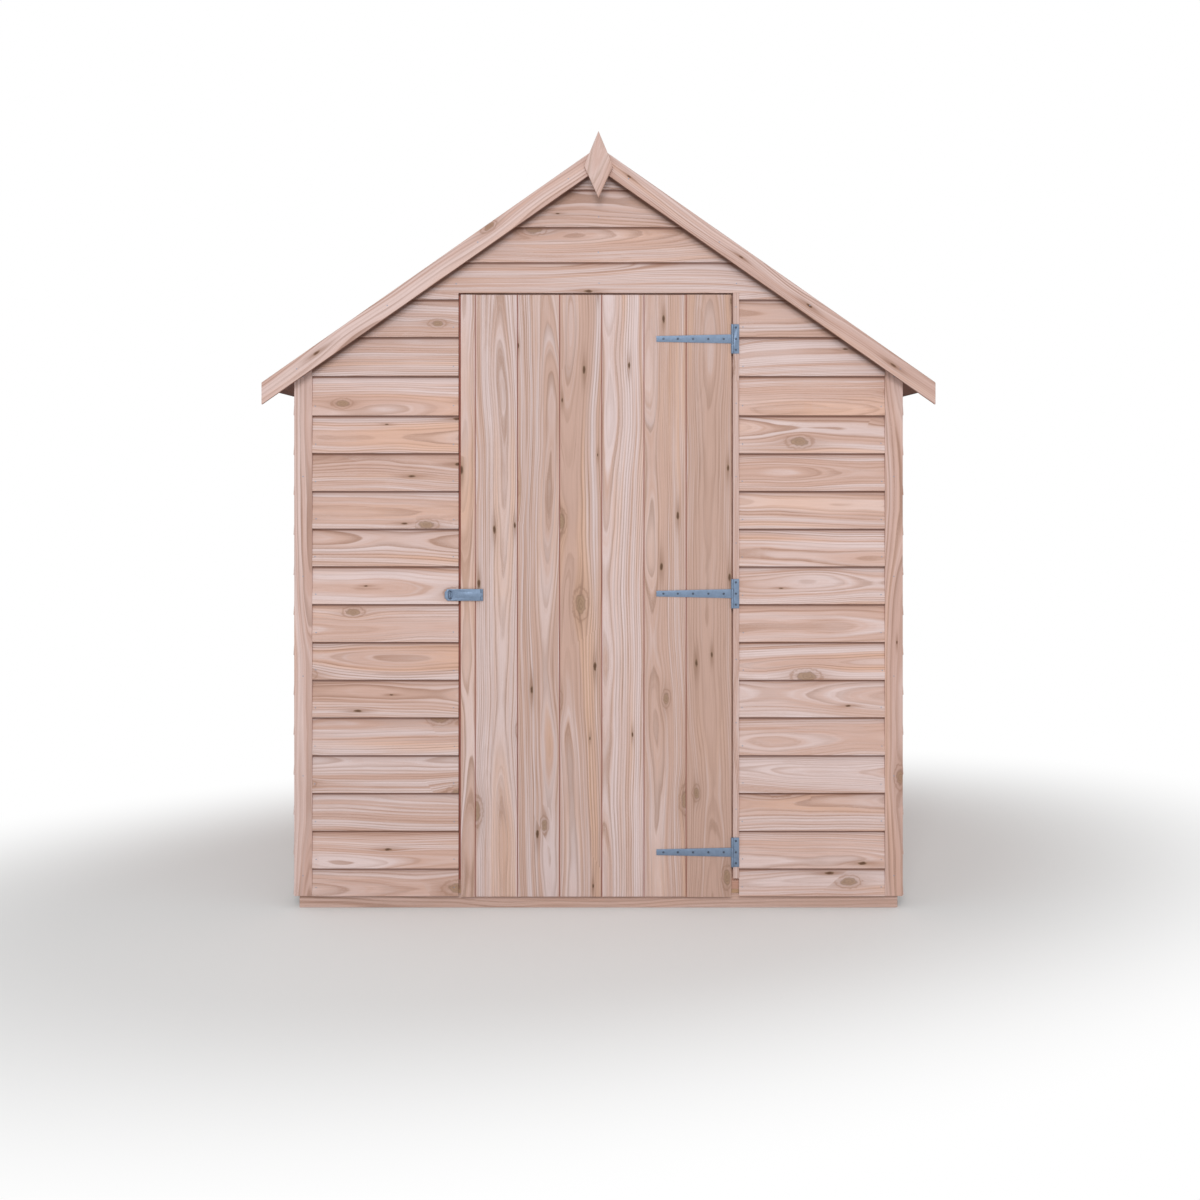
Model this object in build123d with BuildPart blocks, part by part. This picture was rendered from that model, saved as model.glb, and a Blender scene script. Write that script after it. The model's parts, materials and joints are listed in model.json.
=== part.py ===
"""Wooden garden shed with an apex roof, overlap-boarded walls and one boarded door.

The frame is in millimetres: +Z is up, the door is in the -Y gable, and the origin is on the
ground under the middle of the shed.
"""

from build123d import *
from math import cos, radians, sin, tan
import os

# Overall sizes.
frame_width = 1804.0  # across the outer faces of the side frames
frame_depth = 2404.0  # over the outer faces of the gable frames
eaves_height = 1633.0  # ground to the roof's underside at a side frame's outer face
roof_pitch = 35.0  # degrees
roof_half_width = 1005.0  # middle of the shed to the eaves edge
gable_overhang = 45.0  # gable frame to the end of the roof boarding

# Floor.
bearer_height = 44.0
bearer_width = 28.0
bearer_count = 7
floor_thickness = 12.0

# Wall frames.
frame_timber = 34.0  # depth of every framing timber through the wall
sill_height = 28.0
stud_width = 28.0
post_width = 60.0  # corner posts and door posts
plate_height = 34.0  # wall plate at its outer face
rafter_depth = 34.0
king_post_width = 44.0
side_stud_count = 5
back_stud_count = 2
back_stud_spacing = 600.0

# Overlap boarding.
board_thickness = 8.5
board_lap = 16.0
boarding_bottom = 38.5
gable_pitch = 113.5
gable_first_course = 83.5
gable_regular_courses = 12
gable_upper_courses = (118.5, 117.0)
head_courses = (93.0, 105.5, 113.5)
side_pitch = 120.5
side_first_course = 121.0
roof_gap = 2.0  # boarding, trims and roof stay this far apart

# Trims.
trim_width = 54.0
trim_thickness = 17.0
trim_overhang = 13.0  # past the side frame's outer face

# Roof.
roof_board_thickness = 12.0
felt_thickness = 2.0
ridge_felt_width = 200.0  # each side of the ridge, across the ground
bargeboard_width = 54.0
bargeboard_thickness = 14.0
finial_half_width = 43.0
finial_rise = 43.0  # above the bargeboards' peak
finial_upper_length = 103.0
finial_lower_length = 95.0
finial_thickness = 16.0
purlin_offset = 460.0
purlin_width = 28.0
purlin_depth = 44.0
ridge_board_width = 28.0
ridge_board_depth = 70.0

# Doorway and door.
door_left = -414.0
door_right = 399.5
door_bottom = 35.5
door_top = 1847.0
door_thickness = 12.0
door_gap = 5.0  # above the door and on the hinge side
latch_gap = 7.0
post_rebate = 15.0  # door overlaps the posts and head by this much
head_height = 60.0
first_door_board = 43.5
door_board_cover = 126.8
groove_width = 5.0
groove_depth = 3.5
hinge_strip_width = 18.0
hinge_strip_bottom = 91.5
ledge_height = 95.0
ledge_thickness = 20.0
ledge_clearance = 10.0
brace_width = 70.0

# T hinges.
hinge_heights = (171.0, 948.0, 1713.5)
hinge_pin_radius = 2.0
knuckle_radius = 4.0
knuckle_clearance = 0.15
knuckle_end_gap = 0.5
hinge_metal = 2.5
hinge_plate_height = 88.0
strap_length = 228.0
strap_root_height = 27.0
strap_tip_height = 17.0

# Hasp and staple.
hasp_height = 944.5
hasp_pin_x = -350.0
hasp_width = 35.0
hasp_reach = 112.0  # pin to the tip
hasp_metal = 2.0
hasp_knuckle_radius = 3.5
hasp_pin_radius = 1.6
hasp_leaf_length = 52.0
hasp_tip_chamfer = 9.0
hasp_rib_length = 62.0
hasp_rib_height = 17.0
hasp_rib_rise = 1.0
hasp_rib_start = 14.0  # pin to the near end of the rib
slot_reach = 95.5  # pin to the middle of the slot
slot_height = 27.0
slot_width = 11.0
staple_wire = 5.0
staple_inner_radius = 6.5
staple_projection = 22.0  # board face to the crown of the staple
staple_plate_width = 22.0
staple_plate_height = 33.0
staple_plate_thickness = 2.0

# Places worked out from the sizes above.
half_width = frame_width / 2
half_depth = frame_depth / 2
slope = tan(radians(roof_pitch))
upright = 1 / cos(radians(roof_pitch))  # vertical thickness of a unit across the slope
floor_bottom = bearer_height
floor_top = floor_bottom + floor_thickness
sill_top = floor_top + sill_height
inner_half_width = half_width - frame_timber
inner_half_depth = half_depth - frame_timber
boarding_depth = board_thickness * (2 + board_lap / gable_pitch)
trim_face = half_depth + trim_thickness
roof_end = half_depth + gable_overhang
door_face = trim_face
door_back = door_face - door_thickness
head_bottom = door_top - post_rebate
left_post_edge = door_left + post_rebate
right_post_edge = door_right - post_rebate
left_boarding_end = door_left - latch_gap
strip_left = door_right + door_gap
strip_right = strip_left + hinge_strip_width
gable_boarding_bottom = door_top + door_gap
pin_x = door_right + door_gap / 2
pin_y = -(door_face + knuckle_radius)
hasp_pin_y = -(door_face + hasp_knuckle_radius)
barge_top = (roof_board_thickness + 2 * felt_thickness) * upright


def roof_underside(x):
    """Height of the roof's underside at a distance x from the middle."""
    return eaves_height + (half_width - abs(x)) * slope


def slope_plane(side, drop=0.0):
    """Plane of the roof's underside on one side (1 right, -1 left), lowered by drop across it."""
    angle = radians(roof_pitch)
    normal = (side * sin(angle), 0, cos(angle))
    return Plane(origin=(side * half_width, 0, eaves_height), x_dir=(0, 1, 0), z_dir=normal).offset(-drop)


def save(piece, name):
    """Labels a finished piece and writes it."""
    piece.part.label = name
    export_step(piece.part, f"parts/{name}.step")


def course_lines(bottom, courses, top, pitch):
    """Heights of the boards' lower edges, then the top of the boarding."""
    lines = [bottom]
    for course in courses:
        lines.append(lines[-1] + course)
    while lines[-1] + pitch < top:
        lines.append(lines[-1] + pitch)
    kept = [line for line in lines if line < top - board_lap]
    return kept + [top]


def boarding_outline(lines, pitch):
    """Section through lapped boards: (distance out of the wall, height) points.

    Each board leans on the one below it, so both faces step at every lap.
    """
    lean = board_thickness / pitch
    outer = []
    inner = []
    boards = list(zip(lines, lines[1:]))
    for number, (low, high) in enumerate(boards):
        last = number == len(boards) - 1
        board_top = high if last else high + board_lap
        start = low if number == 0 else low + board_lap
        outer += [
            (boarding_depth, low),
            (boarding_depth - lean * (high - low), high),
        ]
        inner += [
            (boarding_depth - board_thickness - lean * (start - low), start),
            (max(0.0, boarding_depth - board_thickness - lean * (board_top - low)), board_top),
        ]
    return outer + inner[::-1]


def boarded_wall(corner, outward, length, lines, pitch):
    """Lapped boards along a wall, from corner, with the boards stepping towards outward."""
    along = Vector(*outward).cross(Vector(0, 0, 1))
    with BuildPart() as wall:
        with BuildSketch(Plane(origin=corner, x_dir=outward, z_dir=along)):
            with BuildLine():
                Polyline(*boarding_outline(lines, pitch), close=True)
            make_face()
        extrude(amount=length)
    return wall


def cut_to_roof(wall, drop):
    """Trims a wall or post to both slopes of the roof, drop below its underside."""
    with BuildPart() as cut:
        add(wall.part)
        for side in (-1, 1):
            split(bisect_by=slope_plane(side, drop), keep=Keep.BOTTOM)
    return cut


def posts(centres, width, front_face, back_face, bottom, drop):
    """Upright timbers at the given x places, cut to the roof slope."""
    with BuildPart() as raw:
        with BuildSketch(Plane.XY.offset(bottom)):
            for centre in centres:
                with Locations((centre, (front_face + back_face) / 2)):
                    Rectangle(width, abs(back_face - front_face))
        extrude(amount=roof_underside(0) - bottom)
    return cut_to_roof(raw, drop)


def along_depth(points, start, end):
    """A prism with the given (x, z) outline, from y = start to y = end."""
    with BuildPart() as prism:
        with BuildSketch(Plane(origin=(0, start, 0), x_dir=(1, 0, 0), z_dir=(0, -1, 0))):
            with BuildLine():
                Polyline(*points, close=True)
            make_face()
        extrude(amount=start - end)
    return prism


os.makedirs("parts", exist_ok=True)

# Floor: bearers across the width, with the boarding on them.
with BuildPart() as floor_bearers:
    with BuildSketch():
        with GridLocations(0, (frame_depth - bearer_width) / (bearer_count - 1), 1, bearer_count):
            Rectangle(frame_width, bearer_width)
    extrude(amount=bearer_height)
save(floor_bearers, "floor_bearers")

with BuildPart() as floor_panel:
    with BuildSketch(Plane.XY.offset(floor_bottom)):
        Rectangle(frame_width, frame_depth)
    extrude(amount=floor_thickness)
save(floor_panel, "floor_panel")

# Sills: the gable sills run the full width and the side sills fit between them.
for name, side in (("front_sill", -1), ("back_sill", 1)):
    with BuildPart() as gable_sill:
        with BuildSketch(Plane.XY.offset(floor_top)):
            with Locations((0, side * (half_depth - frame_timber / 2))):
                Rectangle(frame_width, frame_timber)
        extrude(amount=sill_height)
    save(gable_sill, name)

with BuildPart() as side_sills:
    with BuildSketch(Plane.XY.offset(floor_top)):
        with GridLocations(frame_width - frame_timber, 0, 2, 1):
            Rectangle(frame_timber, 2 * inner_half_depth)
    extrude(amount=sill_height)
save(side_sills, "side_sills")

# Side frames: studs between the sill and a wall plate bevelled to the roof.
plate_bottom = eaves_height - plate_height
stud_spacing = (2 * inner_half_depth - stud_width) / (side_stud_count - 1)
for name, side in (("left_studs", -1), ("right_studs", 1)):
    with BuildPart() as studs:
        with BuildSketch(Plane.XY.offset(sill_top)):
            with Locations((side * (half_width - frame_timber / 2), 0)):
                with GridLocations(0, stud_spacing, 1, side_stud_count):
                    Rectangle(frame_timber, stud_width)
        extrude(amount=plate_bottom - sill_top)
    save(studs, name)

with BuildPart() as wall_plates:
    with BuildSketch(Plane.XZ.offset(-inner_half_depth)):
        for side in (-1, 1):
            with BuildLine():
                Polyline(
                    (side * half_width, plate_bottom),
                    (side * half_width, roof_underside(half_width)),
                    (side * inner_half_width, roof_underside(inner_half_width)),
                    (side * inner_half_width, plate_bottom),
                    close=True,
                )
            make_face()
    extrude(amount=2 * inner_half_depth)
save(wall_plates, "wall_plates")

# Gable frames: posts, rafters that meet on a king post, and the door head.
corner_centre = half_width - post_width / 2
door_posts = (left_post_edge - post_width / 2, right_post_edge + post_width / 2)
front_posts = posts(
    (-corner_centre, *door_posts, corner_centre),
    post_width,
    -half_depth,
    -inner_half_depth,
    sill_top,
    rafter_depth,
)
save(front_posts, "front_posts")

back_studs = [(n - (back_stud_count - 1) / 2) * back_stud_spacing for n in range(back_stud_count)]
back_posts = posts(
    (-corner_centre, *back_studs, corner_centre),
    post_width,
    half_depth,
    inner_half_depth,
    sill_top,
    rafter_depth,
)
save(back_posts, "back_posts")

rafter_drop = rafter_depth * upright
for gable, outer, inner in (("front", -half_depth, -inner_half_depth), ("back", half_depth, inner_half_depth)):
    with BuildPart() as rafters:
        with BuildSketch(Plane(origin=(0, outer, 0), x_dir=(1, 0, 0), z_dir=(0, -1, 0))):
            for side in (-1, 1):
                inside = side * king_post_width / 2
                outside = side * half_width
                with BuildLine():
                    Polyline(
                        (inside, roof_underside(inside)),
                        (outside, roof_underside(outside)),
                        (outside, roof_underside(outside) - rafter_drop),
                        (inside, roof_underside(inside) - rafter_drop),
                        close=True,
                    )
                make_face()
        extrude(amount=outer - inner)
    save(rafters, f"{gable}_rafters")

with BuildPart() as door_head:
    with BuildSketch(Plane.XY.offset(head_bottom)):
        with Locations(((left_post_edge + right_post_edge) / 2, -half_depth + frame_timber / 2)):
            Rectangle(right_post_edge - left_post_edge, frame_timber)
    extrude(amount=head_height)
save(door_head, "door_head")

front_king_post = posts(
    (0,), king_post_width, -half_depth, -inner_half_depth, head_bottom + head_height, 0
)
save(front_king_post, "front_king_post")
back_king_post = posts((0,), king_post_width, half_depth, inner_half_depth, sill_top, 0)
save(back_king_post, "back_king_post")

# Boarding: the door gable is boarded beside the door and over it.
clad_half = half_width + trim_overhang - trim_width  # boarding ends at the corner trims
side_boarding_top = roof_underside(half_width + boarding_depth) - roof_gap
gable_courses = [gable_first_course] + [gable_pitch] * gable_regular_courses + list(gable_upper_courses)
wall_lines = course_lines(boarding_bottom, gable_courses, gable_boarding_bottom, gable_pitch)
head_lines = course_lines(gable_boarding_bottom, head_courses, roof_underside(0), gable_pitch)
side_lines = course_lines(boarding_bottom, [side_first_course], side_boarding_top, side_pitch)

front_left = boarded_wall(
    (left_boarding_end, -half_depth, 0), (0, -1, 0), left_boarding_end + clad_half, wall_lines, gable_pitch
)
save(cut_to_roof(front_left, roof_gap), "front_boarding_left")

front_right = boarded_wall(
    (clad_half, -half_depth, 0), (0, -1, 0), clad_half - strip_right, wall_lines, gable_pitch
)
save(cut_to_roof(front_right, roof_gap), "front_boarding_right")

front_over_door = boarded_wall(
    (clad_half, -half_depth, 0), (0, -1, 0), 2 * clad_half, head_lines, gable_pitch
)
save(cut_to_roof(front_over_door, roof_gap), "front_boarding_gable")

back_lines = course_lines(boarding_bottom, gable_courses, roof_underside(0), gable_pitch)
back_wall = boarded_wall((-clad_half, half_depth, 0), (0, 1, 0), 2 * clad_half, back_lines, gable_pitch)
save(cut_to_roof(back_wall, roof_gap), "back_boarding")

left_boarding = boarded_wall((-half_width, -half_depth, 0), (-1, 0, 0), frame_depth, side_lines, side_pitch)
save(left_boarding, "left_boarding")
right_boarding = boarded_wall((half_width, half_depth, 0), (1, 0, 0), frame_depth, side_lines, side_pitch)
save(right_boarding, "right_boarding")

# Corner trims close the ends of the boarding on both gables.
trim_centre = half_width + trim_overhang - trim_width / 2
for gable, side in (("front", -1), ("back", 1)):
    with BuildPart() as raw_trims:
        with BuildSketch(Plane.XY.offset(boarding_bottom)):
            with Locations((0, side * (half_depth + trim_thickness / 2))):
                with GridLocations(2 * trim_centre, 0, 2, 1):
                    Rectangle(trim_width, trim_thickness)
        extrude(amount=eaves_height)
    save(cut_to_roof(raw_trims, roof_gap), f"{gable}_corner_trims")

with BuildPart() as hinge_strip:
    with BuildSketch(Plane.XY.offset(hinge_strip_bottom)):
        with Locations(((strip_left + strip_right) / 2, -(half_depth + trim_thickness / 2))):
            Rectangle(hinge_strip_width, trim_thickness)
    extrude(amount=gable_boarding_bottom - hinge_strip_bottom)
save(hinge_strip, "hinge_strip")

# Roof: a ridge board and two purlins carry the boarding, and felt covers it.
with BuildPart() as ridge_board:
    half_board = ridge_board_width / 2
    with BuildSketch(Plane.XZ.offset(-inner_half_depth)):
        with BuildLine():
            Polyline(
                (-half_board, roof_underside(half_board)),
                (0, roof_underside(0)),
                (half_board, roof_underside(half_board)),
                (half_board, roof_underside(0) - ridge_board_depth),
                (-half_board, roof_underside(0) - ridge_board_depth),
                close=True,
            )
        make_face()
    extrude(amount=2 * inner_half_depth)
save(ridge_board, "ridge_board")

with BuildPart() as purlins:
    for side in (-1, 1):
        under_roof = Plane(
            origin=(side * purlin_offset, -inner_half_depth, roof_underside(purlin_offset)),
            x_dir=(cos(radians(roof_pitch)), 0, -side * sin(radians(roof_pitch))),
            z_dir=(0, -1, 0),
        )
        with BuildSketch(under_roof):
            Rectangle(purlin_width, purlin_depth, align=(Align.CENTER, Align.MAX))
        extrude(amount=-2 * inner_half_depth)
save(purlins, "purlins")

board_rise = roof_board_thickness * upright
felt_rise = felt_thickness * upright
board_edge = roof_half_width - felt_thickness
for name, side in (("left", -1), ("right", 1)):
    roof_boards = along_depth(
        [
            (0, roof_underside(0)),
            (side * board_edge, roof_underside(board_edge)),
            (side * board_edge, roof_underside(board_edge) + board_rise),
            (0, roof_underside(0) + board_rise),
        ],
        -roof_end,
        roof_end,
    )
    save(roof_boards, f"roof_boarding_{name}")
    roof_felt = along_depth(
        [
            (0, roof_underside(0) + board_rise),
            (side * board_edge, roof_underside(board_edge) + board_rise),
            (side * board_edge, roof_underside(board_edge)),
            (side * roof_half_width, roof_underside(board_edge)),
            (side * roof_half_width, roof_underside(roof_half_width) + board_rise + felt_rise),
            (0, roof_underside(0) + board_rise + felt_rise),
        ],
        -roof_end,
        roof_end,
    )
    save(roof_felt, f"roof_felt_{name}")

cap_bottom = board_rise + felt_rise
ridge_felt = along_depth(
    [
        (-ridge_felt_width, roof_underside(ridge_felt_width) + cap_bottom),
        (0, roof_underside(0) + cap_bottom),
        (ridge_felt_width, roof_underside(ridge_felt_width) + cap_bottom),
        (ridge_felt_width, roof_underside(ridge_felt_width) + cap_bottom + felt_rise),
        (0, roof_underside(0) + cap_bottom + felt_rise),
        (-ridge_felt_width, roof_underside(ridge_felt_width) + cap_bottom + felt_rise),
    ],
    -roof_end,
    roof_end,
)
save(ridge_felt, "ridge_felt")

# Bargeboards meet in a plumb joint at each peak, and a diamond finial covers it.
barge_drop = bargeboard_width * upright
finial_widest = roof_underside(0) + barge_top + finial_rise - finial_upper_length
for gable, side in (("front", -1), ("back", 1)):
    for hand, across in (("left", -1), ("right", 1)):
        bargeboard = along_depth(
            [
                (0, roof_underside(0) + barge_top),
                (across * roof_half_width, roof_underside(roof_half_width) + barge_top),
                (across * roof_half_width, roof_underside(roof_half_width) + barge_top - barge_drop),
                (0, roof_underside(0) + barge_top - barge_drop),
            ],
            side * roof_end,
            side * (roof_end + bargeboard_thickness),
        )
        save(bargeboard, f"{gable}_bargeboard_{hand}")
    finial = along_depth(
        [
            (0, finial_widest + finial_upper_length),
            (finial_half_width, finial_widest),
            (0, finial_widest - finial_lower_length),
            (-finial_half_width, finial_widest),
        ],
        side * (roof_end + bargeboard_thickness),
        side * (roof_end + bargeboard_thickness + finial_thickness),
    )
    save(finial, f"{gable}_finial")

# Door: matched boards on three ledges and two braces.
with BuildPart() as door_boards:
    with BuildSketch(Plane.XY.offset(door_bottom)):
        with Locations(((door_left + door_right) / 2, -(door_face + door_back) / 2)):
            Rectangle(door_right - door_left, door_thickness)
        joint = door_left + first_door_board
        while joint < door_right - groove_width:
            with BuildLine():
                Polyline(
                    (joint - groove_width / 2, -door_face),
                    (joint + groove_width / 2, -door_face),
                    (joint, -door_face + groove_depth),
                    close=True,
                )
            make_face(mode=Mode.SUBTRACT)
            joint += door_board_cover
    extrude(amount=door_top - door_bottom)
save(door_boards, "door_boards")

ledge_left = left_post_edge + ledge_clearance
ledge_right = right_post_edge - ledge_clearance
with BuildPart() as door_ledges:
    with BuildSketch(Plane.XZ.offset(door_back)):
        for height in hinge_heights:
            with Locations(((ledge_left + ledge_right) / 2, height)):
                Rectangle(ledge_right - ledge_left, ledge_height)
    extrude(amount=-ledge_thickness)
save(door_ledges, "door_ledges")

with BuildPart() as door_braces:
    with BuildSketch(Plane.XZ.offset(door_back)):
        for low, high in zip(hinge_heights, hinge_heights[1:]):
            foot = low + ledge_height / 2
            crown = high - ledge_height / 2
            with BuildLine():
                Polyline(
                    (ledge_right - brace_width, foot),
                    (ledge_right, foot),
                    (ledge_left + brace_width, crown),
                    (ledge_left, crown),
                    close=True,
                )
            make_face()
    extrude(amount=-ledge_thickness)
save(door_braces, "door_braces")

# T hinges: the plate carries the pin and two knuckles, and the strap's knuckle turns between them.
strap_knuckle = strap_root_height / 2
with BuildPart() as hinge_plates:
    with BuildSketch(Plane.XZ.offset(door_face)):
        for height in hinge_heights:
            with Locations(((pin_x + strip_right) / 2, height)):
                Rectangle(strip_right - pin_x, hinge_plate_height)
            with Locations((pin_x, height)):
                Rectangle(
                    2 * (knuckle_radius + knuckle_end_gap),
                    2 * (strap_knuckle + knuckle_end_gap),
                    mode=Mode.SUBTRACT,
                )
    extrude(amount=hinge_metal)
    for height in hinge_heights:
        with BuildSketch(Plane.XY.offset(height - hinge_plate_height / 2)):
            with Locations((pin_x, pin_y)):
                Circle(hinge_pin_radius)
        extrude(amount=hinge_plate_height)
        knuckle_length = hinge_plate_height / 2 - strap_knuckle - knuckle_end_gap
        for base in (height - hinge_plate_height / 2, height + strap_knuckle + knuckle_end_gap):
            with BuildSketch(Plane.XY.offset(base)):
                with Locations((pin_x, pin_y)):
                    Circle(knuckle_radius)
            extrude(amount=knuckle_length)
save(hinge_plates, "hinge_plates")

with BuildPart() as hinge_straps:
    with BuildSketch(Plane.XZ.offset(door_face)):
        for height in hinge_heights:
            with BuildLine():
                Polyline(
                    (pin_x, height - strap_root_height / 2),
                    (pin_x, height + strap_root_height / 2),
                    (pin_x - strap_length, height + strap_tip_height / 2),
                    (pin_x - strap_length, height - strap_tip_height / 2),
                    close=True,
                )
            make_face()
    extrude(amount=hinge_metal)
    for height in hinge_heights:
        with BuildSketch(Plane.XY.offset(height - strap_knuckle)):
            with Locations((pin_x, pin_y)):
                Circle(knuckle_radius)
        extrude(amount=2 * strap_knuckle)
        with BuildSketch(Plane.XY.offset(height - strap_knuckle)):
            with Locations((pin_x, pin_y)):
                Circle(hinge_pin_radius + knuckle_clearance)
        extrude(amount=2 * strap_knuckle, mode=Mode.SUBTRACT)
save(hinge_straps, "hinge_straps")

# Hasp: a leaf on the door carries the pin, and the slotted strap folds over it onto the staple.
hasp_knuckle = hasp_width / 6
with BuildPart() as hasp_leaf:
    with BuildSketch(Plane.XZ.offset(door_face)):
        with Locations((hasp_pin_x, hasp_height)):
            Rectangle(hasp_leaf_length, hasp_width, align=(Align.MAX, Align.CENTER))
            Rectangle(
                2 * (hasp_knuckle_radius + knuckle_end_gap),
                2 * (hasp_knuckle + knuckle_end_gap),
                mode=Mode.SUBTRACT,
            )
    extrude(amount=hasp_metal)
    with BuildSketch(Plane.XY.offset(hasp_height - hasp_width / 2)):
        with Locations((hasp_pin_x, hasp_pin_y)):
            Circle(hasp_pin_radius)
    extrude(amount=hasp_width)
    knuckle_length = hasp_width / 2 - hasp_knuckle - knuckle_end_gap
    for base in (hasp_height - hasp_width / 2, hasp_height + hasp_knuckle + knuckle_end_gap):
        with BuildSketch(Plane.XY.offset(base)):
            with Locations((hasp_pin_x, hasp_pin_y)):
                Circle(hasp_knuckle_radius)
        extrude(amount=knuckle_length)
save(hasp_leaf, "hasp_leaf")

# The strap lies just clear of the leaf, level with the front of the pin.
strap_back = -hasp_pin_y - hasp_pin_radius + 2 * hasp_pin_radius - hasp_metal / 2
with BuildPart() as hasp_strap:
    with BuildSketch(Plane.XZ.offset(strap_back)):
        tip = hasp_pin_x - hasp_reach
        half = hasp_width / 2
        neck = hasp_pin_x - hasp_knuckle_radius - knuckle_end_gap
        with BuildLine():
            Polyline(
                (neck, hasp_height - half),
                (neck, hasp_height - hasp_knuckle),
                (hasp_pin_x, hasp_height - hasp_knuckle),
                (hasp_pin_x, hasp_height + hasp_knuckle),
                (neck, hasp_height + hasp_knuckle),
                (neck, hasp_height + half),
                (tip + hasp_tip_chamfer, hasp_height + half),
                (tip, hasp_height + half - hasp_tip_chamfer),
                (tip, hasp_height - half + hasp_tip_chamfer),
                (tip + hasp_tip_chamfer, hasp_height - half),
                close=True,
            )
        make_face()
        with Locations((hasp_pin_x - slot_reach, hasp_height)):
            SlotOverall(slot_height, slot_width, rotation=90, mode=Mode.SUBTRACT)
    extrude(amount=hasp_metal)
    with BuildSketch(Plane.XZ.offset(strap_back + hasp_metal)):
        with Locations((hasp_pin_x - hasp_rib_start, hasp_height)):
            Rectangle(hasp_rib_length, hasp_rib_height, align=(Align.MAX, Align.CENTER))
    extrude(amount=hasp_rib_rise)
    with BuildSketch(Plane.XY.offset(hasp_height - hasp_knuckle)):
        with Locations((hasp_pin_x, hasp_pin_y)):
            Circle(hasp_knuckle_radius)
    extrude(amount=2 * hasp_knuckle)
    with BuildSketch(Plane.XY.offset(hasp_height - hasp_knuckle)):
        with Locations((hasp_pin_x, hasp_pin_y)):
            Circle(hasp_pin_radius + knuckle_clearance)
    extrude(amount=2 * hasp_knuckle, mode=Mode.SUBTRACT)
save(hasp_strap, "hasp_strap")

# Staple: a bent wire on a plate, seated on the front of the overlap boards.
staple_x = hasp_pin_x - slot_reach
board_foot = max(line for line in wall_lines if line <= hasp_height - staple_plate_height / 2)
plate_drop = hasp_height - staple_plate_height / 2 - board_foot
staple_back = half_depth + boarding_depth - board_thickness * plate_drop / gable_pitch
bend_radius = staple_inner_radius + staple_wire / 2
crown = half_depth + trim_thickness + staple_projection
with BuildPart() as hasp_staple:
    with BuildSketch(Plane.XZ.offset(staple_back)):
        with Locations((staple_x, hasp_height)):
            Rectangle(staple_plate_width, staple_plate_height)
    extrude(amount=staple_plate_thickness)
    with BuildLine(Plane(origin=(staple_x, 0, hasp_height), x_dir=(0, -1, 0), z_dir=(1, 0, 0))) as loop:
        straight = crown - staple_wire / 2 - bend_radius
        leg = Line((staple_back, bend_radius), (straight, bend_radius))
        ThreePointArc((straight, bend_radius), (straight + bend_radius, 0), (straight, -bend_radius))
        Line((straight, -bend_radius), (staple_back, -bend_radius))
    with BuildSketch(Plane(origin=leg @ 0, z_dir=leg % 0)):
        Circle(staple_wire / 2)
    sweep(path=loop.line)
save(hasp_staple, "hasp_staple")
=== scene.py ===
import bpy
import json
import math
import random
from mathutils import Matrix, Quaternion, Vector


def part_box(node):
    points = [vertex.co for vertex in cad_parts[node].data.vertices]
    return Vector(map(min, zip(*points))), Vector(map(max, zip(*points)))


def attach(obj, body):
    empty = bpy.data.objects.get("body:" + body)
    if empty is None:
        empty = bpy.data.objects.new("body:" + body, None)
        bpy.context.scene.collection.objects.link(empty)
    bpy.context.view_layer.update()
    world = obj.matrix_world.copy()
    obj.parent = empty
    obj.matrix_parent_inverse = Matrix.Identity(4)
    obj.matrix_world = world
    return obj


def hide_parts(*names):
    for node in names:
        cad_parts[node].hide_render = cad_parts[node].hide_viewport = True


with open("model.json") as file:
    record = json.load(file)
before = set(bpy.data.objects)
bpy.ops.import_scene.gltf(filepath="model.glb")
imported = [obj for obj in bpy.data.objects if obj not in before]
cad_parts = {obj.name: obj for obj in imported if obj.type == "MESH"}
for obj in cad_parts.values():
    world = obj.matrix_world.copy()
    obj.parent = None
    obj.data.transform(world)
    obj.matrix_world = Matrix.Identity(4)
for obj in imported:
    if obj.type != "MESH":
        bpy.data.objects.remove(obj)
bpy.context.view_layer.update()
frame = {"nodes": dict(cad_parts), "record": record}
print("frame loaded:", len(frame["nodes"]), "nodes")

# sizes that several pieces share, in metres
pitch = math.radians(35)
eavesHeight = 1.633          # ground to the underside of the roof at the wall frame
frameHalfWidth = 0.902
frameHalfDepth = 1.202
trimWidth = 0.054
trimReach = 0.013            # how far the corner trims stand past the frame


def roofUnderside(x):
    return eavesHeight + (frameHalfWidth - abs(x)) * math.tan(pitch)


def alongSlope(side):
    # from left to right on the left slope, side -1, or the right one, side 1
    return Vector((math.cos(pitch), 0, -side * math.sin(pitch)))


def outOfSlope(side):
    return Vector((side * math.sin(pitch), 0, math.cos(pitch)))


def deselectAll():
    if bpy.context.mode != "OBJECT":
        bpy.ops.object.mode_set(mode="OBJECT")
    bpy.ops.object.select_all(action="DESELECT")


def pick(*objects):
    deselectAll()
    for each in objects:
        each.select_set(True)
    bpy.context.view_layer.objects.active = objects[-1]


def edit(piece):
    pick(piece)
    bpy.ops.object.mode_set(mode="EDIT")
    bpy.ops.mesh.select_all(action="SELECT")


def leaveEdit():
    bpy.ops.object.mode_set(mode="OBJECT")


def settle():
    # moves the picked object's place, turn and size into its mesh
    bpy.ops.object.transform_apply(location=True, rotation=True, scale=True)


def block(name, low, high):
    # a box between two corners
    deselectAll()
    middle = [(a + b) / 2 for a, b in zip(low, high)]
    size = [b - a for a, b in zip(low, high)]
    bpy.ops.mesh.primitive_cube_add(size=1, location=middle, scale=size)
    piece = bpy.context.active_object
    piece.name = name
    settle()
    return piece


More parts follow.
